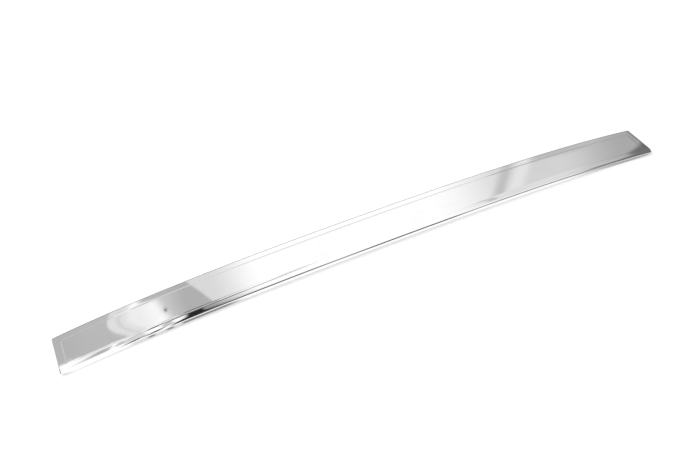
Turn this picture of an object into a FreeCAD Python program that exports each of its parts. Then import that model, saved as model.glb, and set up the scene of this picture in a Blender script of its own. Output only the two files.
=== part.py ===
import FreeCAD, Part
import Sketcher
import os
import sys

# Tailgate trim strip: one long sheet of thin bright steel, pressed in a single stroke.
# Its plan is a shallow bow, wider in the middle than at the ends, and its face arches a little.
# The front edge rolls over in a quarter round into a flange, the rear edge and both ends turn down
# in a narrow lip, and a raised panel with a sloped crease all round runs along the face.
# The strip is drawn with its face level, then laid down as it rests: on the flange and the rear lip.
# X runs along the strip, Y from the rolled front edge to the rear edge, Z up. Millimetres.

doc = FreeCAD.newDocument("tailgate_trim_strip")
sheet = doc.addObject("Spreadsheet::Sheet", "sizes")

# Driving dimensions
SIZES = [
    ("half_length", "525", "half the length of the front edge"),
    ("end_slant", "1.3", "how much further each end reaches at the rear edge"),
    ("end_width", "67.5", "width at the ends, front edge to rear edge"),
    ("front_bow", "15.5", "bow of the front edge in plan"),
    ("rear_bow", "21", "bow of the rear edge in plan"),
    ("arch_rise", "5", "rise of the face from its ends to its middle"),
    ("quartic_share", "0.46", "share of every bow that turns near the ends"),
    ("sheet_thickness", "0.8", "thickness of the steel"),
    ("front_radius", "9", "outside radius of the rolled front edge"),
    ("flange_depth", "10", "face to the lower edge of the front flange"),
    ("taper_left", "18", "length over which the flange is trimmed at the left end"),
    ("taper_right", "35", "length over which the flange is trimmed at the right end"),
    ("left_tip_depth", "4", "face to the flange's lower edge at the left end"),
    ("right_tip_depth", "6", "face to the flange's lower edge at the right end"),
    ("lip_depth", "2.5", "face to the lower edge of the rear and end lips"),
    ("bend_radius", "1.5", "outside radius of the bends at the rear and the ends"),
    ("corner_radius", "2.5", "radius of the two rear corners in plan"),
    ("panel_rise", "0.6", "height of the raised panel above its border"),
    ("front_crease", "0.6", "width of the slope along the front of the raised panel"),
    ("rim_crease", "2", "width of the slope along its rear and ends"),
    ("front_land", "0.6", "flat between the rolled edge and the crease"),
    ("rear_border", "11.5", "rear edge to the crease"),
    ("end_border", "11", "end edge to the crease"),
]

# Values that follow from the driving dimensions
RULES = [
    ("margin", "=half_length/20", "how far the cutting forms reach past the strip"),
    ("inner_front_radius", "=front_radius-sheet_thickness", "inside radius of the rolled edge"),
    ("inner_bend_radius", "=bend_radius-sheet_thickness", "inside radius of the other bends"),
    ("inner_corner_radius", "=corner_radius-sheet_thickness", "inside radius of the rear corners"),
    ("front_fit", "=sheet_thickness*tan(atan(panel_rise/front_crease)/2)",
     "how far the inside of the front crease stands in from its outside"),
    ("rim_fit", "=sheet_thickness*tan(atan(panel_rise/rim_crease)/2)",
     "the same at the rear and the ends"),
    ("contact_share", "=(half_length-taper_left)/half_length", "where the flange meets the floor"),
    ("contact_crown", "=1-(1-quartic_share)*contact_share^2-quartic_share*contact_share^4",
     "part of each bow that is left at that place"),
    ("rest_drop", "=flange_depth-arch_rise*contact_crown-lip_depth",
     "how much lower the flange reaches than the rear lip"),
    ("rest_span", "=end_width-front_bow*contact_crown", "flange to rear lip at that place"),
]


def fill_sheet():
    for row, (alias, content, note) in enumerate(SIZES + RULES, start=1):
        sheet.set(f"A{row}", alias)
        sheet.set(f"B{row}", content)
        sheet.set(f"C{row}", note)
        sheet.setAlias(f"B{row}", alias)
    doc.recompute()


def value_of(formula):
    return float(sheet.evalExpression(formula))


# Sketches

def new_sketch(body, name, role):
    sketch = body.newObject("Sketcher::SketchObject", name)
    plane = [feature for feature in body.Origin.OriginFeatures if feature.Role == role][0]
    sketch.AttachmentSupport = [(plane, "")]
    sketch.MapMode = "FlatFace"
    return sketch


def pin(sketch, geometry, position, across, up):
    """Tie one point of a sketch to the sketch's origin by two formulas."""
    for kind, formula in (("DistanceX", across), ("DistanceY", up)):
        distance = Sketcher.Constraint(kind, -1, 1, geometry, position, value_of(formula))
        index = sketch.addConstraint(distance)
        sketch.setExpression(f"Constraints[{index}]", formula)


def add_crown(sketch, reach, bow, level):
    """Add the curve level + bow * (1 - (1 - q) u^2 - q u^4) for |x| <= reach.

    u is x / half_length and q is quartic_share. The curve is one quartic arc, evenly spaced
    along x, so its five poles follow from the two coefficients.
    """
    square = f"(({reach})/sizes.half_length)^2"
    quartic = f"sizes.quartic_share*{square}^2"
    gentle = f"(1-sizes.quartic_share)*{square}"
    end = f"({level})+{bow}*(1-{gentle}-{quartic})"
    shoulder = f"({level})+{bow}*(1+{quartic})"
    middle = f"({level})+{bow}*(1+{gentle}/3-{quartic})"
    poles = [
        (f"-({reach})", end),
        (f"-({reach})/2", shoulder),
        ("0", middle),
        (f"({reach})/2", shoulder),
        (f"({reach})", end),
    ]
    curve = Part.BSplineCurve()
    points = [FreeCAD.Vector(value_of(across), value_of(up), 0) for across, up in poles]
    curve.buildFromPolesMultsKnots(points, [5, 5], [0, 1], False, 4)
    crown = sketch.addGeometry(curve, False)
    sketch.exposeInternalGeometry(crown)
    for number, (across, up) in enumerate(poles, start=1):
        pin(sketch, crown + number, 3, across, up)
    return crown


def join_ends(sketch, first_curve, second_curve):
    """Close the gap between two curves with a line at each end."""
    for position in (1, 2):
        start = sketch.getPoint(first_curve, position)
        end = sketch.getPoint(second_curve, position)
        line = sketch.addGeometry(Part.LineSegment(start, end), False)
        sketch.addConstraint(Sketcher.Constraint("Coincident", line, 1, first_curve, position))
        sketch.addConstraint(Sketcher.Constraint("Coincident", line, 2, second_curve, position))


def add_polygon(sketch, corners):
    """Add a closed polygon whose corners are pairs of formulas."""
    points = [FreeCAD.Vector(value_of(across), value_of(up), 0) for across, up in corners]
    following = points[1:] + points[:1]
    first = sketch.GeometryCount
    for start, end in zip(points, following):
        sketch.addGeometry(Part.LineSegment(start, end), False)
    for number, (across, up) in enumerate(corners):
        pin(sketch, first + number, 1, across, up)
        next_line = first + (number + 1) % len(corners)
        sketch.addConstraint(Sketcher.Constraint("Coincident", first + number, 2, next_line, 1))


def add_outline(sketch, front_inset, rear_inset, end_inset):
    """Add the strip's outline in plan, with each side moved in by its inset."""
    front = add_crown(sketch, f"sizes.half_length-({end_inset})", "sizes.front_bow",
                      f"-sizes.end_width/2+({front_inset})")
    rear = add_crown(sketch, f"sizes.half_length+sizes.end_slant-({end_inset})", "sizes.rear_bow",
                     f"sizes.end_width/2-({rear_inset})")
    join_ends(sketch, front, rear)


# Solids

def arched_block(name, top, bottom, front_inset, rear_inset, end_inset):
    """Make the block between two levels of the arched face that stands inside an outline."""
    far = "(sizes.half_length+4*sizes.margin)"
    wide = "(sizes.end_width+sizes.rear_bow+2*sizes.margin)"
    body = doc.addObject("PartDesign::Body", name)

    side = new_sketch(body, name + "_side", "XZ_Plane")
    upper = add_crown(side, "sizes.half_length+2*sizes.margin", "sizes.arch_rise", top)
    lower = add_crown(side, "sizes.half_length+2*sizes.margin", "sizes.arch_rise", bottom)
    join_ends(side, upper, lower)
    slab = body.newObject("PartDesign::Pad", name + "_slab")
    slab.Profile = side
    slab.SideType = "Symmetric"
    slab.setExpression("Length", f"2*{wide}")

    # Waste: all of the slab outside the outline, cut from below
    plan = new_sketch(body, name + "_plan", "XY_Plane")
    add_polygon(plan, [(f"-{far}", f"-2*{wide}"), (far, f"-2*{wide}"),
                       (far, f"2*{wide}"), (f"-{far}", f"2*{wide}")])
    add_outline(plan, front_inset, rear_inset, end_inset)
    plan.setExpression("AttachmentOffset.Base.z", "-4*sizes.margin")
    waste = body.newObject("PartDesign::Pocket", name + "_waste")
    waste.Profile = plan
    waste.Reversed = True
    waste.setExpression("Length", "8*sizes.margin")
    doc.recompute()
    return body


def edge_names(shape, wanted):
    """Names of the edges whose two end points pass a test."""
    found = []
    for number, edge in enumerate(shape.Edges, start=1):
        ends = [vertex.Point for vertex in edge.Vertexes]
        if len(ends) == 2 and wanted(*ends):
            found.append(f"Edge{number}")
    return found


def is_upright(first, last):
    return (first - last).Length > 2 * abs(first.x - last.x) + 2 * abs(first.y - last.y)


def is_rim(first, last, top):
    """True for an edge of the top face, whose ends lie close to the face's own end level."""
    near = value_of("sizes.lip_depth") / 2
    return max(abs(first.z - top), abs(last.z - top)) < near and not is_upright(first, last)


def round_off(body, name, wanted, radius):
    base = body.Tip
    fillet = body.newObject("PartDesign::Fillet", name)
    fillet.Base = (base, edge_names(base.Shape, wanted))
    fillet.Refine = False
    fillet.setExpression("Radius", radius)
    doc.recompute()


def pressed_blank(name, top, bottom, inset, front_radius, bend_radius, corner_radius):
    """Make the plain form of the strip: rolled front edge, rounded rear corners and bent rim."""
    body = arched_block(name, top, bottom, inset, inset, inset)
    level = value_of(top)

    def rear_corner(first, last):
        return is_upright(first, last) and first.y > 0

    def front_rim(first, last):
        return is_rim(first, last, level) and max(first.y, last.y) < 0

    def rear_rim(first, last):
        return is_rim(first, last, level) and first.x * last.x < 0 and min(first.y, last.y) > 0

    round_off(body, name + "_corners", rear_corner, corner_radius)
    round_off(body, name + "_roll", front_rim, front_radius)
    round_off(body, name + "_bend", rear_rim, bend_radius)
    return body


def slope_off(body, name, wanted, width):
    """Cut a rim back to a slope of a given width, which reaches as far again below the blank's face."""
    base = body.Tip
    crease = body.newObject("PartDesign::Chamfer", name)
    crease.Base = (base, edge_names(base.Shape, wanted))
    crease.ChamferType = "Two distances"
    crease.Refine = False
    crease.setExpression("Size", f"2*{width}")
    crease.setExpression("Size2", "2*sizes.panel_rise")
    doc.recompute()


def creased_panel(name, top, front_fit, rim_fit):
    """Make the raised panel: a block whose rim is cut back to a slope that sinks into the blank."""
    front = f"sizes.front_radius+sizes.front_land-sizes.front_crease+({front_fit})"
    rear = f"sizes.rear_border-sizes.rim_crease+({rim_fit})"
    end = f"sizes.end_border-sizes.rim_crease+({rim_fit})"
    body = arched_block(name, top, f"({top})-sizes.lip_depth-2*sizes.panel_rise", front, rear, end)
    level = value_of(top)

    def rear_or_end(first, last):
        return is_rim(first, last, level) and max(first.y, last.y) > 0

    def front_rim(first, last):
        return is_rim(first, last, level) and max(first.y, last.y) < 0

    slope_off(body, name + "_rim", rear_or_end, "sizes.rim_crease")
    slope_off(body, name + "_front", front_rim, "sizes.front_crease")
    return body


def flange_taper(name, side, length, tip_depth):
    """Make the wedge that trims the flange from its full depth to its depth at one end."""
    body = doc.addObject("PartDesign::Body", name)
    profile = new_sketch(body, name + "_profile", "XZ_Plane")
    tip = f"{side}*sizes.half_length"
    past = f"{side}*(sizes.half_length+sizes.margin)"
    start = f"{side}*(sizes.half_length-{length})"
    deep = "-sizes.flange_depth-sizes.margin"
    add_polygon(profile, [(past, f"-{tip_depth}"), (tip, f"-{tip_depth}"),
                          (start, "-sizes.flange_depth"), (start, deep), (past, deep)])
    wedge = body.newObject("PartDesign::Pad", name + "_wedge")
    wedge.Profile = profile
    wedge.SideType = "Symmetric"
    wedge.setExpression("Length", "2*(sizes.end_width+sizes.margin)")
    doc.recompute()
    return body


def combine(kind, name, **parts):
    result = doc.addObject(kind, name)
    for role, part in parts.items():
        setattr(result, role, part)
    result.Refine = False
    doc.recompute()
    return result


# The strip is what lies between the outside of the pressing and the inside of it

def outside_form():
    blank = pressed_blank("outer_blank", "0", "-sizes.flange_depth-sizes.margin", "0",
                          "sizes.front_radius", "sizes.bend_radius", "sizes.corner_radius")
    panel = creased_panel("outer_panel", "sizes.panel_rise", "0", "0")
    return combine("Part::Fuse", "outside_form", Base=blank, Tool=panel)


def inside_form():
    below = "-sizes.flange_depth-2*sizes.margin"
    blank = pressed_blank("inner_blank", "-sizes.sheet_thickness", below, "sizes.sheet_thickness",
                          "sizes.inner_front_radius", "sizes.inner_bend_radius",
                          "sizes.inner_corner_radius")
    panel = creased_panel("inner_panel", "sizes.panel_rise-sizes.sheet_thickness",
                          "sizes.front_fit", "sizes.rim_fit")
    return combine("Part::Fuse", "inside_form", Base=blank, Tool=panel)


def edge_trim():
    below = "-sizes.flange_depth-2*sizes.margin"
    past = "-sizes.margin"
    flange = arched_block("flange_trim", "-sizes.flange_depth", below, past, past, past)
    lips = arched_block("lip_trim", "-sizes.lip_depth", below, "sizes.front_radius", past, past)
    left = flange_taper("left_taper", "-1", "sizes.taper_left", "sizes.left_tip_depth")
    right = flange_taper("right_taper", "1", "sizes.taper_right", "sizes.right_tip_depth")
    return combine("Part::MultiFuse", "edge_trim", Shapes=[flange, lips, left, right])


def lay_down(strip):
    """Tilt the strip on to its flange and rear lip, and centre it over the origin."""
    tilt = sheet.evalExpression("atan(sizes.rest_drop/sizes.rest_span)").Value
    turn = FreeCAD.Rotation(FreeCAD.Vector(1, 0, 0), -tilt)
    strip.Placement = FreeCAD.Placement(FreeCAD.Vector(), turn)
    box = strip.Shape.optimalBoundingBox(False)
    strip.Placement.Base = FreeCAD.Vector(-box.Center.x, -box.Center.y, -box.ZMin)


def check_document():
    failed = [item.Name for item in doc.Objects if {"Invalid", "Error"} & set(item.State)]
    if failed:
        sys.exit("not built: " + ", ".join(failed))


def check_piece(piece):
    shape = piece.Shape
    if shape.isNull() or not shape.isValid() or len(shape.Solids) != 1:
        sys.exit(f"{piece.Label} is not one sound solid")
    box = shape.optimalBoundingBox(False)
    print(f"{piece.Label}: {box.XLength:.1f} x {box.YLength:.1f} x {box.ZLength:.1f} mm,"
          f" {shape.Volume:.0f} mm3")


fill_sheet()
shell = combine("Part::Cut", "shell", Base=outside_form(), Tool=inside_form())
strip = combine("Part::Cut", "strip", Base=shell, Tool=edge_trim())
strip.Label = "trim_strip"
lay_down(strip)

check_document()
check_piece(strip)
os.makedirs("parts", exist_ok=True)
strip.Shape.exportStep(f"parts/{strip.Label}.step")
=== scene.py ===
import math

import bpy
from mathutils import Matrix, Vector


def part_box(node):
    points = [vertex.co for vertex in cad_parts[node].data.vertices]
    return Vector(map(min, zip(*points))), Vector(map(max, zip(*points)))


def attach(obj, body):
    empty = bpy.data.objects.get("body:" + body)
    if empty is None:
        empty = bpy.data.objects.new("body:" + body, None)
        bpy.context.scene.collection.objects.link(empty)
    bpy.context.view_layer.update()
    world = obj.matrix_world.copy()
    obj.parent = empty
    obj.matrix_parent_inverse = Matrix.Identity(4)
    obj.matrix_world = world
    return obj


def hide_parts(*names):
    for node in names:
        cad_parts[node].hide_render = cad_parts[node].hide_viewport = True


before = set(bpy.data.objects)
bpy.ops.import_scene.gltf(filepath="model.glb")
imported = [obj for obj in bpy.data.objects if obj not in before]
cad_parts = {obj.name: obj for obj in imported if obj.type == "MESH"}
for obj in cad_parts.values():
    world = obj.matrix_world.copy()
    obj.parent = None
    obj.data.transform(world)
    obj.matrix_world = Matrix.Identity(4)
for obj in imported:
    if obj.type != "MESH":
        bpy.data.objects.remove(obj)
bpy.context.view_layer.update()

print("stage: frame loaded")

# Sizes are in metres and angles in degrees.
# x runs along the strip, y from its rolled front edge to its rear edge, z is up.

white = (1.0, 1.0, 1.0, 1.0)
quarterTurn = math.pi / 2


class Field:  # a node socket that takes arithmetic, so that a rule in a tree reads like its formula

    def __init__(self, tree, socket):
        self.tree = tree
        self.socket = socket

    def math(self, operation, *others):
        node = self.tree.nodes.new("ShaderNodeMath")
        node.operation = operation
        for slot, value in zip(node.inputs, (self, *others)):
            feed(self.tree, value, slot)
        return Field(self.tree, node.outputs[0])

    def __add__(self, other):
        return self.math("ADD", other)

    def __sub__(self, other):
        return self.math("SUBTRACT", other)

    def __mul__(self, other):
        return self.math("MULTIPLY", other)

    def __truediv__(self, other):
        return self.math("DIVIDE", other)

    def __pow__(self, other):
        return self.math("POWER", other)

    def __neg__(self):
        return self * -1.0

    def __rsub__(self, other):
        return -self + other

    __rmul__ = __mul__

    def least(self, other):
        return self.math("MINIMUM", other)

    def most(self, other):
        return self.math("MAXIMUM", other)

    def within(self, low, high):
        return self.most(low).least(high)

    def blend(self, first, second):  # first where this field is 0, second where it is 1
        return first * (1.0 - self) + second * self

    def eased(self, start, stop):  # a soft S from 0 at the start to 1 at the stop
        node = addNode(self.tree, "ShaderNodeMapRange", {
            "Value": self, "From Min": start, "From Max": stop}, interpolation_type="SMOOTHSTEP")
        return output(node, "Result")


def feed(tree, value, slot):
    if isinstance(value, Field):
        tree.links.new(value.socket, slot)
    else:
        slot.default_value = value


def addNode(tree, kind, inputs=(), **settings):
    node = tree.nodes.new(kind)
    for name, value in settings.items():
        setattr(node, name, value)
    for name, value in dict(inputs).items():
        feed(tree, value, node.inputs[name])
    return node


def output(node, name=0):
    return Field(node.id_data, node.outputs[name])


def newGroup(name, kind, inputs, outputs):  # inputs and outputs: {socket name: (type, value)}
    tree = bpy.data.node_groups.new(name, kind)
    for way, sockets in (("INPUT", inputs), ("OUTPUT", outputs)):
        for socketName, (socketType, value) in sockets.items():
            socket = tree.interface.new_socket(socketName, in_out=way, socket_type=socketType)
            if value is not None:
                socket.default_value = value
    return tree, tree.nodes.new("NodeGroupInput"), tree.nodes.new("NodeGroupOutput")


def useGroup(tree, group, **inputs):
    node = tree.nodes.new("ShaderNodeGroup")
    node.node_tree = group
    for name, value in inputs.items():
        feed(tree, value, node.inputs[name])
    return node


def emptyTree(owner):  # the node tree of a material or a world, cleared
    owner.use_nodes = True
    owner.node_tree.nodes.clear()
    return owner.node_tree


def addObject(name, data):
    item = bpy.data.objects.new(name, data)
    bpy.context.collection.objects.link(item)
    return item


def aim(item, direction):  # a camera or lamp looks along its own -z
    item.rotation_mode = "QUATERNION"
    item.rotation_quaternion = direction.to_track_quat("-Z", "Y")


# Camera

cameraPlace = {
    "target": (-0.0445, 0.0194, 0.0),
    "distance": 1.2152,
    "azimuth": 25.33,  # to the right of the strip's own +y
    "elevation": 50.04,
    "focalPixels": 741.4,
    "imageWidth": 700,
    "sensorWidth": 36.0,  # in millimetres
}


def addCamera(place):
    azimuth, elevation = math.radians(place["azimuth"]), math.radians(place["elevation"])
    forward = Vector((math.sin(azimuth) * math.cos(elevation),
                      math.cos(azimuth) * math.cos(elevation),
                      -math.sin(elevation)))
    data = bpy.data.cameras.new("camera")
    data.sensor_width = place["sensorWidth"]
    data.lens = place["focalPixels"] / place["imageWidth"] * place["sensorWidth"]
    camera = addObject("camera", data)
    camera.location = Vector(place["target"]) - forward * place["distance"]
    aim(camera, forward)
    bpy.context.scene.camera = camera


addCamera(cameraPlace)
print("stage: camera")


# Steel

steels = {
    "polishedSteel": {
        "colour": (0.93, 0.93, 0.935),
        "dullColour": (0.9, 0.9, 0.905),  # where smudges and wiping lines have dulled it
        "roughness": 0.02,
        "dullRoughness": 0.045,
        "lineDepth": 0.000001,
        "rippleDepth": 0.00003,
        "rippleScale": 14.0,
    },
    "millSteel": {
        "colour": (0.62, 0.62, 0.62),
        "dullColour": (0.55, 0.55, 0.55),
        "roughness": 0.3,
        "dullRoughness": 0.42,
        "lineDepth": 0.00001,
        "rippleDepth": 0.00003,
        "rippleScale": 20.0,
    },
    "cutSteel": {
        "colour": (0.42, 0.42, 0.42),
        "dullColour": (0.32, 0.32, 0.32),
        "roughness": 0.35,
        "dullRoughness": 0.5,
        "lineDepth": 0.00001,
        "rippleDepth": 0.00001,
        "rippleScale": 60.0,
    },
}
wear = {
    "rippleStretch": (0.6, 1.0, 1.0),  # the waves are longer along the strip
    "linesAcross": 1400.0,
    "linesAlong": 14.0,
    "lineStart": 0.55,  # a line shows where its noise rises from this
    "lineFull": 0.75,
    "lineShare": 0.3,  # how much the lines dull the steel
    "smudgeScale": 26.0,
    "smudgeCover": 0.5,
    "smudgeEdge": 0.25,
    "smudgeShare": 0.7,
}
mixColours, mixResult = (6, 7), 2  # a mix node's colour sockets, which share their names with others


def makeRippleGroup():  # slow waves that pressing leaves in a thin sheet
    group, source, result = newGroup(
        "sheetRipple", "ShaderNodeTree",
        {"Vector": ("NodeSocketVector", None), "Scale": ("NodeSocketFloat", 20.0)},
        {"Height": ("NodeSocketFloat", None)})
    stretch = addNode(group, "ShaderNodeMapping", {
        "Vector": output(source, "Vector"), "Scale": wear["rippleStretch"]})
    waves = addNode(group, "ShaderNodeTexNoise", {
        "Vector": output(stretch), "Scale": output(source, "Scale"), "Detail": 1.0,
        "Roughness": 0.4, "Distortion": 0.3})
    feed(group, output(waves, "Fac"), result.inputs["Height"])
    return group


def makeScratchGroup():  # fine lines that polishing and wiping leave along the sheet
    group, source, result = newGroup(
        "polishingLines", "ShaderNodeTree",
        {"Vector": ("NodeSocketVector", None), "Across": ("NodeSocketFloat", 900.0),
         "Along": ("NodeSocketFloat", 12.0)},
        {"Lines": ("NodeSocketFloat", None)})
    across = output(source, "Across")
    density = addNode(group, "ShaderNodeCombineXYZ", {
        "X": output(source, "Along"), "Y": across, "Z": across})
    stretch = addNode(group, "ShaderNodeVectorMath", operation="MULTIPLY")
    feed(group, output(source, "Vector"), stretch.inputs[0])
    feed(group, output(density), stretch.inputs[1])
    noise = addNode(group, "ShaderNodeTexNoise", {
        "Vector": output(stretch), "Scale": 1.0, "Detail": 3.0, "Roughness": 0.65})
    lines = output(noise, "Fac").eased(wear["lineStart"], wear["lineFull"])
    feed(group, lines, result.inputs["Lines"])
    return group


def makeSmudgeGroup():  # patches that handling leaves on a bright surface
    group, source, result = newGroup(
        "handlingSmudges", "ShaderNodeTree",
        {"Vector": ("NodeSocketVector", None), "Scale": ("NodeSocketFloat", 30.0),
         "Cover": ("NodeSocketFloat", 0.5)},
        {"Mask": ("NodeSocketFloat", None)})
    patches = addNode(group, "ShaderNodeTexNoise", {
        "Vector": output(source, "Vector"), "Scale": output(source, "Scale"), "Detail": 4.0,
        "Roughness": 0.6, "Distortion": 0.8})
    covered = output(patches, "Fac") - 1.0 + output(source, "Cover")
    feed(group, covered.eased(0.0, wear["smudgeEdge"]), result.inputs["Mask"])
    return group


ripple = makeRippleGroup()
polishing = makeScratchGroup()
smudges = makeSmudgeGroup()


def makeSteel(name, finish):
    material = bpy.data.materials.new(name)
    tree = emptyTree(material)
    place = output(addNode(tree, "ShaderNodeTexCoord"), "Object")
    handled = output(useGroup(tree, smudges, Vector=place, Scale=wear["smudgeScale"],
                              Cover=wear["smudgeCover"]), "Mask")
    lines = output(useGroup(tree, polishing, Vector=place, Across=wear["linesAcross"],
                            Along=wear["linesAlong"]), "Lines")
    waves = output(useGroup(tree, ripple, Vector=place, Scale=finish["rippleScale"]), "Height")

    worn = (handled * wear["smudgeShare"] + lines * wear["lineShare"]).within(0.0, 1.0)
    tint = addNode(tree, "ShaderNodeMix", {"Factor": worn}, data_type="RGBA")
    for slot, colour in zip(mixColours, (finish["colour"], finish["dullColour"])):
        tint.inputs[slot].default_value = (*colour, 1.0)

    wavy = addNode(tree, "ShaderNodeBump", {
        "Height": waves, "Strength": 1.0, "Distance": finish["rippleDepth"]})
    lined = addNode(tree, "ShaderNodeBump", {
        "Height": lines, "Strength": 1.0, "Distance": finish["lineDepth"], "Normal": output(wavy)})
    shader = addNode(tree, "ShaderNodeBsdfPrincipled", {
        "Base Color": output(tint, mixResult), "Metallic": 1.0, "Normal": output(lined),
        "Roughness": worn.blend(finish["roughness"], finish["dullRoughness"])})
    addNode(tree, "ShaderNodeOutputMaterial", {"Surface": output(shader)})
    return material


polishedSteel, millSteel, cutSteel = (makeSteel(name, finish) for name, finish in steels.items())
print("stage: steel")


# Trim strip

stripSizes = {
    "halfLength": 0.525,
    "endSlant": 0.0013,  # how much further out the rear corners stand
    "endWidth": 0.0675,
    "frontBow": 0.0155,
    "rearBow": 0.021,
    "archRise": 0.005,
    "quarticShare": 0.46,  # the part of each bow that turns faster towards the ends
    "frontRadius": 0.009,
    "flangeDepth": 0.010,
    "taperLeft": 0.018,  # the flange is trimmed over this length
    "taperRight": 0.035,
    "leftTipDepth": 0.004,
    "rightTipDepth": 0.006,
    "lipDepth": 0.0025,
    "bendRadius": 0.0015,
    "cornerRadius": 0.0025,
    "panelRise": 0.0006,
    "frontCrease": 0.0006,  # widths of the panel's slope, at the front and at the rim
    "rimCrease": 0.002,
    "creaseSoftness": 0.00005,
    "frontLand": 0.0006,
    "rearBorder": 0.0115,
    "endBorder": 0.011,
    "sheetThickness": 0.0008,
}
notPressed = ("lipDepth", "sheetThickness")  # sizes of the blank and of its wall
blankCells = {"flange": 2, "roll": 30, "land": 1, "crease": 8, "slope": 2, "panel": 30, "border": 8,
              "flat": 2, "bend": 7, "lip": 2, "length": 170}
seamReach = 0.00001  # points closer than this are joined, where the blank's corners fold
smallest = 0.000001  # keeps a division away from zero
sharpAngle = 40


def spread(stops):  # positions in order: each (position, cells) is reached in that many equal cells
    places = [stops[0][0]]
    for position, cells in stops[1:]:
        start = places[-1]
        places += [start + (position - start) * step / cells for step in range(1, cells + 1)]
    return places


# From the panel down its slope, along the border and round the bend to the lip's edge. Rows beside
# each crease keep the flats flat.
def rimStops(panelCells, foot, corner, sizes, cells):
    hold = sizes["creaseSoftness"]
    top = foot - sizes["rimCrease"]
    flat = corner + sizes["cornerRadius"] - sizes["bendRadius"]
    bend = flat + sizes["bendRadius"] * quarterTurn
    lip = bend + sizes["lipDepth"] - sizes["bendRadius"]
    return [(top - hold, panelCells), (top, 1), (top + hold, 1),
            (foot - hold, cells["slope"]), (foot, 1), (foot + hold, 1), (corner, cells["border"]),
            (flat, cells["flat"]), (bend, cells["bend"]), (lip, cells["lip"])]


def makeBlank(sizes, cells):  # the flat sheet: x along the strip, y across it, measured on the sheet
    hold = sizes["creaseSoftness"]
    turn = sizes["frontRadius"] * quarterTurn
    creaseFoot, creaseTop = sizes["frontLand"] - hold, sizes["frontLand"] + sizes["frontCrease"] + hold
    rearEdge = sizes["endWidth"] - sizes["frontRadius"]
    across = spread([
        (-turn - (sizes["flangeDepth"] - sizes["frontRadius"]), 0), (-turn, cells["flange"]),
        (0.0, cells["roll"]), (creaseFoot, cells["land"]), (creaseTop, cells["crease"]),
        (creaseTop + hold, 1),
    ] + rimStops(cells["panel"], rearEdge - sizes["rearBorder"], rearEdge - sizes["cornerRadius"],
                 sizes, cells))
    half = spread([(0.0, 0)] + rimStops(
        cells["length"] // 2, sizes["halfLength"] - sizes["endBorder"],
        sizes["halfLength"] - sizes["cornerRadius"], sizes, cells))
    along = [-x for x in reversed(half[1:])] + half

    mesh = bpy.data.meshes.new("trimStrip")
    rows = len(across)
    corners = [(x, y, 0.0) for x in along for y in across]
    faces = [(rows * c + r, rows * (c + 1) + r, rows * (c + 1) + r + 1, rows * c + r + 1)
             for c in range(len(along) - 1) for r in range(rows - 1)]
    mesh.from_pydata(corners, [], faces)
    return mesh


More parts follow.
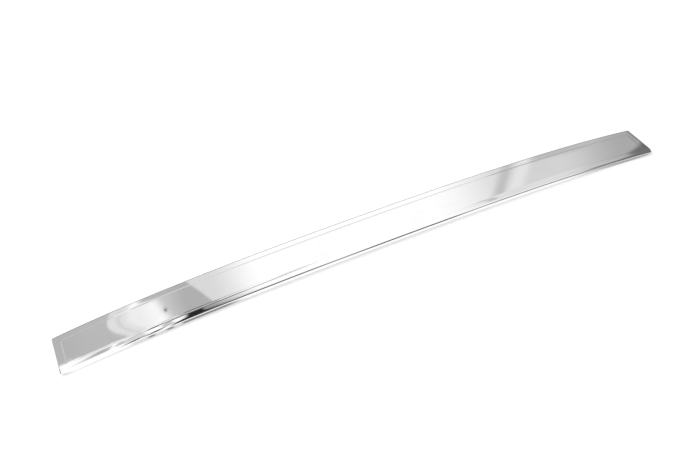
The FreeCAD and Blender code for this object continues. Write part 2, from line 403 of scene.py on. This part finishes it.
def makePress(sizes):  # the tree that presses the flat sheet into the strip
    sockets = {name: ("NodeSocketFloat", value) for name, value in sizes.items()
               if name not in notPressed}
    tree, source, result = newGroup(
        "pressStrip", "GeometryNodeTree",
        {"Blank": ("NodeSocketGeometry", None), **sockets, "Steel": ("NodeSocketMaterial", None)},
        {"Strip": ("NodeSocketGeometry", None)})
    size = {name: output(source, name) for name in sockets}
    position = addNode(tree, "GeometryNodeInputPosition")
    sheet = addNode(tree, "ShaderNodeSeparateXYZ", {"Vector": output(position)})
    onX, onY = output(sheet, "X"), output(sheet, "Y")
    side, far = onX.math("SIGN"), onX.math("ABSOLUTE")
    right = onX.math("GREATER_THAN", 0.0)

    # Rear and end edges: flat, bend and lip, which turn the corner on arcs
    radius = size["bendRadius"]
    flat = size["cornerRadius"] - radius
    rearEdge = size["endWidth"] - size["frontRadius"]
    rearCorner = rearEdge - size["cornerRadius"]
    endCorner = size["halfLength"] - size["cornerRadius"]
    overEnd, overRear = far - endCorner, onY - rearCorner
    pastEnd, pastRear = overEnd.most(0.0), overRear.most(0.0)
    past = pastEnd.most(pastRear)
    share = pastEnd.least(pastRear) / past.most(smallest) * (quarterTurn / 2)
    bent = ((past - flat) / radius).within(0.0, quarterTurn)
    out = past.least(flat) + radius * bent.math("SINE")
    down = radius * (1.0 - bent.math("COSINE")) + (past - flat - radius * quarterTurn).most(0.0)
    endLeads = pastEnd.math("GREATER_THAN", pastRear)
    alongEnd = endLeads.blend(share.math("SINE"), share.math("COSINE")) * out
    alongRear = endLeads.blend(share.math("COSINE"), share.math("SINE")) * out
    length = endCorner + overEnd.least(0.0) + alongEnd
    width = rearCorner + overRear.least(0.0) + alongRear

    # Front edge: the roll and the flange below it, trimmed towards the ends
    roll = size["frontRadius"]
    taper = right.blend(size["taperLeft"], size["taperRight"])
    trimmed = ((length - size["halfLength"] + taper) / taper).within(0.0, 1.0)
    tipDepth = right.blend(size["leftTipDepth"], size["rightTipDepth"])
    depth = trimmed.blend(size["flangeDepth"], tipDepth)
    fullTurn = (1.0 - depth / roll).within(0.0, 1.0).math("ARCCOSINE")
    turned = (-onY / roll).within(0.0, fullTurn)
    straight = (-onY - roll * quarterTurn).within(0.0, (depth - roll).most(0.0))
    onRoll = onY.math("LESS_THAN", 0.0)
    rolledY = -roll * turned.math("SINE")
    rolledZ = -roll * (1.0 - turned.math("COSINE")) - straight

    # Raised panel: a soft step along its front, a plain slope along its rear and ends
    fromFront = width - size["frontLand"]
    fromRear = rearEdge - size["rearBorder"] - width
    fromEnd = size["halfLength"] - size["endBorder"] - length
    soft = size["creaseSoftness"]
    upFront = fromFront.eased(-soft, size["frontCrease"] + soft)
    upRim = (fromRear.least(fromEnd) / size["rimCrease"]).within(0.0, 1.0)
    raised = upFront.least(upRim) * size["panelRise"]

    # Bows in plan and arch in elevation
    reach = length / size["halfLength"]
    quartic = size["quarticShare"]
    bow = 1.0 - (1.0 - quartic) * reach * reach - quartic * reach ** 4.0
    rearShare = (fromFront / (rearEdge - size["rearBorder"] - size["frontLand"])).within(0.0, 1.0)
    y = onRoll.blend(width, rolledY) + rearShare.blend(size["frontBow"], size["rearBow"]) * bow
    z = (onRoll.blend(raised, rolledZ) - down).most(-depth) + size["archRise"] * bow
    x = side * (length + size["endSlant"] * (width / rearEdge).within(0.0, 1.0))
    place = addNode(tree, "ShaderNodeCombineXYZ", {
        "X": x, "Y": y + roll - size["endWidth"] / 2.0, "Z": z})

    pressed = addNode(tree, "GeometryNodeSetPosition", {
        "Geometry": output(source, "Blank"), "Position": output(place)})
    joined = addNode(tree, "GeometryNodeMergeByDistance", {
        "Geometry": output(pressed), "Distance": seamReach})
    smooth = addNode(tree, "GeometryNodeSetShadeSmooth", {"Geometry": output(joined)})
    realized = addNode(tree, "GeometryNodeRealizeInstances", {"Geometry": output(smooth)})
    painted = addNode(tree, "GeometryNodeSetMaterial", {
        "Geometry": output(realized), "Material": output(source, "Steel")})
    feed(tree, output(painted), result.inputs["Strip"])
    return tree


def restTurn(sizes):  # the lean in radians that lays both its flange and its rear lip on the floor
    reach = (sizes["halfLength"] - sizes["taperLeft"]) / sizes["halfLength"]
    bow = 1 - (1 - sizes["quarticShare"]) * reach ** 2 - sizes["quarticShare"] * reach ** 4
    drop = sizes["flangeDepth"] - sizes["archRise"] * bow - sizes["lipDepth"]
    return -math.atan(drop / (sizes["endWidth"] - sizes["frontBow"] * bow))


def makeStrip(sizes, cells):
    mesh = makeBlank(sizes, cells)
    for material in (polishedSteel, millSteel, cutSteel):  # face, inside and cut edge
        mesh.materials.append(material)
    strip = addObject("trimStrip", mesh)
    press = strip.modifiers.new("press", "NODES")
    press.node_group = makePress(sizes)
    values = {**sizes, "Steel": polishedSteel}
    for socket in press.node_group.interface.items_tree:
        if socket.in_out == "INPUT" and socket.name in values:
            press[socket.identifier] = values[socket.name]
    wall = strip.modifiers.new("wall", "SOLIDIFY")
    wall.thickness = sizes["sheetThickness"]
    wall.offset = -1.0  # all of it inside the pressed face
    wall.use_even_offset = True
    wall.material_offset = 1
    wall.material_offset_rim = 2

    pressed = strip.evaluated_get(bpy.context.evaluated_depsgraph_get())
    solid = bpy.data.meshes.new_from_object(pressed)
    strip.modifiers.clear()
    strip.data = solid
    solid.transform(Matrix.Rotation(restTurn(sizes), 4, "X"))
    low = Vector(min(v.co[i] for v in solid.vertices) for i in range(3))
    high = Vector(max(v.co[i] for v in solid.vertices) for i in range(3))
    cadLow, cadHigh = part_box("trim_strip")
    shift = Vector((0.0, (cadLow.y + cadHigh.y - low.y - high.y) / 2, cadLow.z - low.z))
    solid.transform(Matrix.Translation(shift))
    solid.set_sharp_from_angle(angle=math.radians(sharpAngle))
    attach(strip, "root")
    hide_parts("trim_strip")
    return strip


strip = makeStrip(stripSizes, blankCells)
print("stage: trim strip,", len(strip.data.polygons), "faces")


# Studio

# What the polished strip mirrors: greys before the studio's white walls. A card is placed by two
# angles in degrees. "along" leans from straight across the strip towards +x. "turn" goes round the
# strip's length, from the floor behind it (0) over the ceiling (90) to the floor in front (180).
# "left" and "right" are along, "low" and "high" are turns, and each edge is soft over its own width.
# "slant" and "curl" shift a card along by its turn past "middle", up to "reach" from it.
openEdge = 180.0  # an edge this far out is left off
plainCard = {"left": -openEdge, "right": openEdge, "softLeft": 1.0, "softRight": 1.0,
             "low": -openEdge, "high": openEdge, "softLow": 2.0, "softHigh": 2.0,
             "middle": 41.0, "slant": 0.0, "curl": 0.0, "reach": openEdge}
studioCards = {
    # Behind the strip, mirrored by its face
    "leftFlag": {
        "left": -0.5, "softLeft": 1.3, "low": 37.5, "high": 60.0,
        "slant": 0.35, "reach": 1.2, "grey": 0.61},
    "flagTop": {
        "left": -2.0, "softLeft": 0.9, "low": 37.5, "high": 40.35, "softHigh": 0.2,
        "grey": 0.5},
    "flagFold": {"left": 0.8, "softLeft": 2.0, "low": 37.5, "high": 60.0, "grey": 0.465},
    "paleCurtain": {
        "left": 2.9, "softLeft": 0.25, "low": 37.5, "high": 60.0,
        "slant": 0.69, "reach": 2.0, "grey": 0.75},
    "brightWall": {"left": 6.0, "softLeft": 4.5, "high": 60.0, "grey": 1.08},
    "lens": {
        "left": -0.33, "right": -0.07, "softLeft": 0.1, "softRight": 0.1,
        "low": 41.31, "high": 41.55, "softLow": 0.08, "softHigh": 0.08, "grey": 0.0},
    "leftGlow": {
        "right": -1.2, "softRight": 2.4, "low": 40.4, "high": 60.0, "softLow": 0.2,
        "grey": 0.92},
    "paleGlow": {
        "right": -3.3, "softRight": 0.8, "low": 37.5, "high": 60.0,
        "curl": 0.85, "reach": 1.2, "grey": 0.8},
    "glowFold": {
        "left": -4.2, "right": -3.9, "softLeft": 0.4, "softRight": 0.4,
        "low": 40.0, "high": 60.0, "curl": 0.85, "reach": 1.2, "grey": 0.68},
    "leftWall": {
        "right": -4.98, "softRight": 0.25, "high": 45.5, "softHigh": 4.0,
        "curl": 0.85, "reach": 1.2, "grey": 0.52},
    "cornerWall": {"right": -7.5, "softRight": 3.0, "high": 45.5, "softHigh": 4.0, "grey": 0.49},
    "cornerLight": {
        "right": -7.9, "softRight": 0.4, "low": 42.3, "high": 75.0, "softLow": 0.15,
        "grey": 1.08},
    "endWall": {"right": -25.0, "softRight": 4.0, "high": 60.0, "grey": 0.59},
    "rightCurtain": {"left": 26.5, "softLeft": 8.0, "high": 140.0, "grey": 0.7},
    "highCurtain": {"left": 26.5, "softLeft": 8.0, "low": 44.0, "high": 140.0, "grey": 0.78},
    "rightWall": {"left": 36.3, "softLeft": 6.0, "high": 140.0, "slant": -0.045, "grey": 0.43},
    "rightPost": {
        "left": 26.6, "right": 27.3, "softLeft": 0.6, "softRight": 0.6,
        "low": 52.0, "high": 116.0, "softLow": 14.0, "softHigh": 14.0,
        "middle": 82.0, "slant": -0.013, "grey": 0.55},
    "rightFold": {
        "left": 28.1, "right": 29.0, "softLeft": 0.9, "softRight": 0.6, "high": 60.0,
        "slant": -0.65, "reach": 3.0, "grey": 0.57},
    "rightGap": {
        "left": 29.4, "right": 30.6, "softLeft": 0.6, "softRight": 1.0, "high": 60.0,
        "slant": -0.65, "reach": 3.0, "grey": 0.83},
    "rightShelf": {
        "left": 31.6, "right": 36.5, "softLeft": 1.2, "softRight": 3.0,
        "high": 39.8, "softHigh": 0.3, "grey": 0.53},
    "sideRoom": {"left": 44.0, "softLeft": 2.0, "high": 170.0, "grey": 0.12},
    "roomCorner": {
        "left": 39.9, "softLeft": 0.9, "low": 39.6, "high": 42.5, "softLow": 0.8,
        "middle": 40.8, "slant": -1.4, "reach": 1.2, "grey": 0.15},
    "roomEdge": {
        "left": 40.35, "softLeft": 0.25, "low": 38.0, "high": 41.5,
        "middle": 39.84, "slant": 0.48, "reach": 2.0, "grey": 0.15},
    # Low behind the strip, mirrored by the rim's bend and the crease
    "skirting": {"left": -15.0, "softLeft": 2.0, "high": 36.0, "grey": 0.01},
    "creaseLeft": {"left": -15.0, "softLeft": 2.0, "low": 1.5, "high": 12.0, "grey": 0.62},
    "creaseGlow": {"left": -5.0, "softLeft": 0.6, "low": 1.5, "high": 12.0, "grey": 1.05},
    "creaseWall": {"left": -3.3, "softLeft": 0.6, "low": 1.5, "high": 12.0, "grey": 0.78},
    "creaseFlag": {
        "left": -3.3, "right": -1.6, "softLeft": 0.6, "softRight": 1.5,
        "low": 1.5, "high": 12.0, "grey": 0.56},
    "creaseShade": {"left": 28.0, "low": 1.5, "high": 12.0, "grey": 0.42},
    "creaseEnd": {"left": 47.0, "softLeft": 4.0, "low": 1.5, "high": 12.0, "grey": 0.25},
    # Above and in front, mirrored by the roll
    "leftRoom": {
        "right": -16.0, "softRight": 4.0, "low": 56.0, "high": 175.0, "softLow": 8.0,
        "grey": 0.05},
    "frameLeft": {
        "left": -3.7, "right": -2.15, "softLeft": 1.6, "softRight": 0.25,
        "low": 73.0, "high": 134.0, "softLow": 10.0, "softHigh": 10.0,
        "middle": 102.0, "slant": 0.058, "grey": 0.48},
    "frameMiddle": {
        "left": -1.8, "right": -1.2, "softLeft": 0.2, "softRight": 0.3,
        "low": 76.0, "high": 126.0, "softLow": 10.0, "softHigh": 10.0,
        "middle": 102.0, "slant": 0.056, "grey": 0.56},
    "frameRight": {
        "left": -1.2, "right": 0.1, "softLeft": 0.2, "softRight": 0.4,
        "low": 70.0, "high": 142.0, "softLow": 12.0, "softHigh": 12.0,
        "middle": 102.0, "slant": 0.052, "grey": 0.7},
    "post": {
        "left": 1.3, "right": 2.0, "softLeft": 0.4, "softRight": 0.2,
        "low": 56.0, "high": 142.0, "softLow": 10.0, "softHigh": 10.0,
        "middle": 102.0, "slant": 0.042, "grey": 0.58},
    "boomEnd": {
        "left": -2.15, "right": -1.8, "softLeft": 0.3, "softRight": 0.3,
        "low": 62.0, "high": 82.0, "softLow": 4.0, "softHigh": 4.0, "grey": 0.35},
    "sideBoom": {
        "left": -1.3, "right": 0.0, "softLeft": 0.3, "softRight": 0.3,
        "low": 58.0, "high": 80.0, "softLow": 4.0, "softHigh": 4.0, "grey": 0.03},
    "boom": {
        "left": 0.5, "right": 7.0, "softLeft": 0.3, "softRight": 1.5,
        "low": 63.0, "high": 79.0, "softLow": 4.0, "softHigh": 4.0, "grey": 0.04},
    "boomArm": {
        "left": 7.7, "right": 10.4, "softLeft": 0.6, "softRight": 1.0,
        "low": 50.0, "high": 76.0, "softLow": 5.0, "softHigh": 5.0,
        "middle": 63.0, "slant": -0.2, "grey": 0.25},
    "darkFigure": {
        "left": 3.1, "right": 6.4, "softRight": 5.0,
        "low": 72.0, "high": 150.0, "softLow": 10.0, "softHigh": 10.0,
        "middle": 102.0, "slant": 0.033, "grey": 0.28},
    "tripod": {
        "left": 3.0, "right": 4.25, "softLeft": 0.4, "softRight": 0.3,
        "low": 76.0, "high": 150.0, "softLow": 6.0, "softHigh": 6.0,
        "middle": 102.0, "slant": 0.033, "grey": 0.02},
    "leftFoot": {
        "left": 1.5, "right": 2.25, "softLeft": 0.3, "softRight": 0.2,
        "low": 144.0, "high": 168.0, "softLow": 5.0, "softHigh": 5.0, "grey": 0.0},
    "rightFoot": {
        "left": 2.5, "right": 3.25, "softLeft": 0.2, "softRight": 0.4,
        "low": 141.0, "high": 167.0, "softLow": 5.0, "softHigh": 5.0, "grey": 0.0},
    "horizonNear": {
        "left": 3.8, "right": 6.2, "softLeft": 0.2, "softRight": 3.0,
        "low": 131.0, "high": 159.0, "softLow": 8.0, "softHigh": 8.0, "grey": 0.02},
    "horizonLeft": {
        "left": 3.95, "right": 15.0, "softLeft": 0.2, "softRight": 6.0,
        "low": 151.0, "high": 172.0, "softLow": 6.0, "softHigh": 6.0, "grey": 0.04},
    "horizonFar": {
        "right": -3.5, "low": 150.0, "high": 174.0, "softLow": 8.0, "softHigh": 6.0,
        "grey": 0.7},
    "horizonMiddle": {
        "left": 15.0, "right": 24.5, "softLeft": 6.0, "softRight": 3.0,
        "low": 155.0, "high": 177.0, "softLow": 6.0, "softHigh": 4.0, "grey": 0.0},
    "horizonRight": {
        "left": 24.5, "right": 31.3, "softLeft": 3.0, "softRight": 1.0,
        "low": 152.0, "high": 175.0, "softLow": 8.0, "softHigh": 6.0, "grey": 0.3},
    "horizonEnd": {
        "left": 31.3, "low": 134.0, "high": 168.0, "softLow": 8.0, "softHigh": 14.0,
        "grey": 0.25},
    "darkRoom": {
        "left": 37.2, "softLeft": 0.9,
        "low": 41.2, "high": 160.0, "softLow": 1.0, "softHigh": 30.0,
        "middle": 80.0, "slant": -0.065, "curl": -0.0003, "grey": 0.17},
}
wallLight = {"white": 1.08, "diffuse": 0.72}  # as mirrored, and as light on the pieces

# What the strip mirrors in the table: here "left" and "right" are along x in millimetres, "low" and
# "high" along y.
tableCards = {
    "paleShadow": {
        "left": -422.0, "right": -344.0, "softLeft": 16.0, "softRight": 8.0,
        "low": -66.0, "high": 0.0, "softLow": 20.0, "grey": 0.78},
    "footShadow": {
        "left": -396.0, "right": -386.0, "softLeft": 10.0, "softRight": 8.0,
        "low": -66.0, "high": 0.0, "softLow": 20.0, "grey": 0.3},
    "tripodShadow": {
        "left": -368.0, "right": -357.0, "softLeft": 10.0, "softRight": 8.0,
        "low": -66.0, "high": 0.0, "softLow": 20.0, "grey": 0.3},
    "bodyShadow": {
        "left": -344.0, "right": -256.0, "softLeft": 8.0, "softRight": 40.0,
        "low": -64.0, "high": 0.0, "softLow": 18.0, "grey": 0.27},
    "rightShade": {"left": 400.0, "softLeft": 130.0, "high": 0.0, "grey": 0.42},
    "endShade": {"left": 520.0, "softLeft": 16.0, "grey": 0.2},
    "rearShade": {"low": 30.0, "softLow": 10.0, "grey": 0.02},
}
floorSheet = {
    "half": 4.0,
    "grey": 0.91,
    "roughness": 0.6,
    "glow": 0.3,  # keeps the table white far from the lamp
}
keySoftbox = {"place": (-0.6, 1.0, 1.3), "size": (1.0, 0.8), "power": 9.0}
millimetres = 1000.0


def addCard(behind, along, turn, card):  # the greys behind a card, with the card painted over them
    if card["slant"] or card["curl"]:
        above = (turn - card["middle"]).within(-card["reach"], card["reach"])
        lean = above * card["curl"] + card["slant"] if card["curl"] else card["slant"]
        along = along - above * lean
    edges = ((along, card["left"], card["softLeft"]), (along, card["right"], -card["softRight"]),
             (turn, card["low"], card["softLow"]), (turn, card["high"], -card["softHigh"]))
    cover = None
    for place, edge, soft in edges:
        if abs(edge) != openEdge:
            share = place.eased(edge - soft / 2, edge + soft / 2)
            cover = share if cover is None else cover * share
    return cover.blend(behind, card["grey"])


def paintCards(grey, along, turn, cards):
    for card in cards.values():
        grey = addCard(grey, along, turn, {**plainCard, **card})
    return grey


def seenRays(path):  # 1 for what the camera sees, straight or through glass
    return (output(path, "Is Camera Ray") + output(path, "Is Transmission Ray")).within(0.0, 1.0)


def splitRays(tree, kind, path, plain, mirrored):  # mirrored rays see one shader, all others the other
    both = addNode(tree, "ShaderNodeMixShader", {"Fac": output(path, "Is Glossy Ray")})
    feed(tree, output(plain), both.inputs[1])  # both shader sockets have the same name
    feed(tree, output(mirrored), both.inputs[2])
    addNode(tree, kind, {"Surface": output(both)})


def makeFloor(sheet, cards, light):
    mesh = bpy.data.meshes.new("floor")
    half, grey = sheet["half"], sheet["grey"]
    corners = [(-half, -half, 0), (half, -half, 0), (half, half, 0), (-half, half, 0)]
    mesh.from_pydata(corners, [], [(0, 1, 2, 3)])
    material = bpy.data.materials.new("paleFloor")
    mesh.materials.append(material)
    tree = emptyTree(material)
    path = addNode(tree, "ShaderNodeLightPath")
    table = addNode(tree, "ShaderNodeBsdfPrincipled", {
        "Base Color": (grey, grey, grey, 1.0), "Roughness": sheet["roughness"],
        "Specular IOR Level": 0.0, "Emission Color": white,
        "Emission Strength": seenRays(path) * sheet["glow"]})
    place = addNode(tree, "ShaderNodeSeparateXYZ", {
        "Vector": output(addNode(tree, "ShaderNodeTexCoord"), "Object")})
    onX, onY = output(place, "X") * millimetres, output(place, "Y") * millimetres
    mirrored = addNode(tree, "ShaderNodeEmission", {
        "Strength": paintCards(light["white"], onX, onY, cards)})
    splitRays(tree, "ShaderNodeOutputMaterial", path, table, mirrored)
    addObject("floor", mesh)


def makeWorld(cards, light):
    world = bpy.data.worlds.new("studio")
    bpy.context.scene.world = world
    tree = emptyTree(world)
    direction = addNode(tree, "ShaderNodeSeparateXYZ", {
        "Vector": output(addNode(tree, "ShaderNodeTexCoord"), "Generated")})
    x, y, z = (output(direction, axis) for axis in "XYZ")
    along = x.within(-1.0, 1.0).math("ARCSINE") * (180 / math.pi)
    turn = z.math("ARCTAN2", y) * (180 / math.pi)
    path = addNode(tree, "ShaderNodeLightPath")
    walls = addNode(tree, "ShaderNodeBackground", {
        "Color": white, "Strength": seenRays(path).blend(light["diffuse"], 1.0)})
    mirrored = addNode(tree, "ShaderNodeBackground", {
        "Color": white, "Strength": paintCards(light["white"], along, turn, cards)})
    splitRays(tree, "ShaderNodeOutputWorld", path, walls, mirrored)


def addSoftbox(name, box):
    data = bpy.data.lights.new(name, "AREA")
    data.shape = "RECTANGLE"
    data.size, data.size_y = box["size"]
    data.energy = box["power"]
    lamp = addObject(name, data)
    lamp.location = box["place"]
    aim(lamp, -Vector(box["place"]))
    lamp.visible_glossy = False


makeFloor(floorSheet, tableCards, wallLight)
makeWorld(studioCards, wallLight)
addSoftbox("keySoftbox", keySoftbox)
bpy.context.scene.view_settings.view_transform = "Standard"
print("stage: studio")
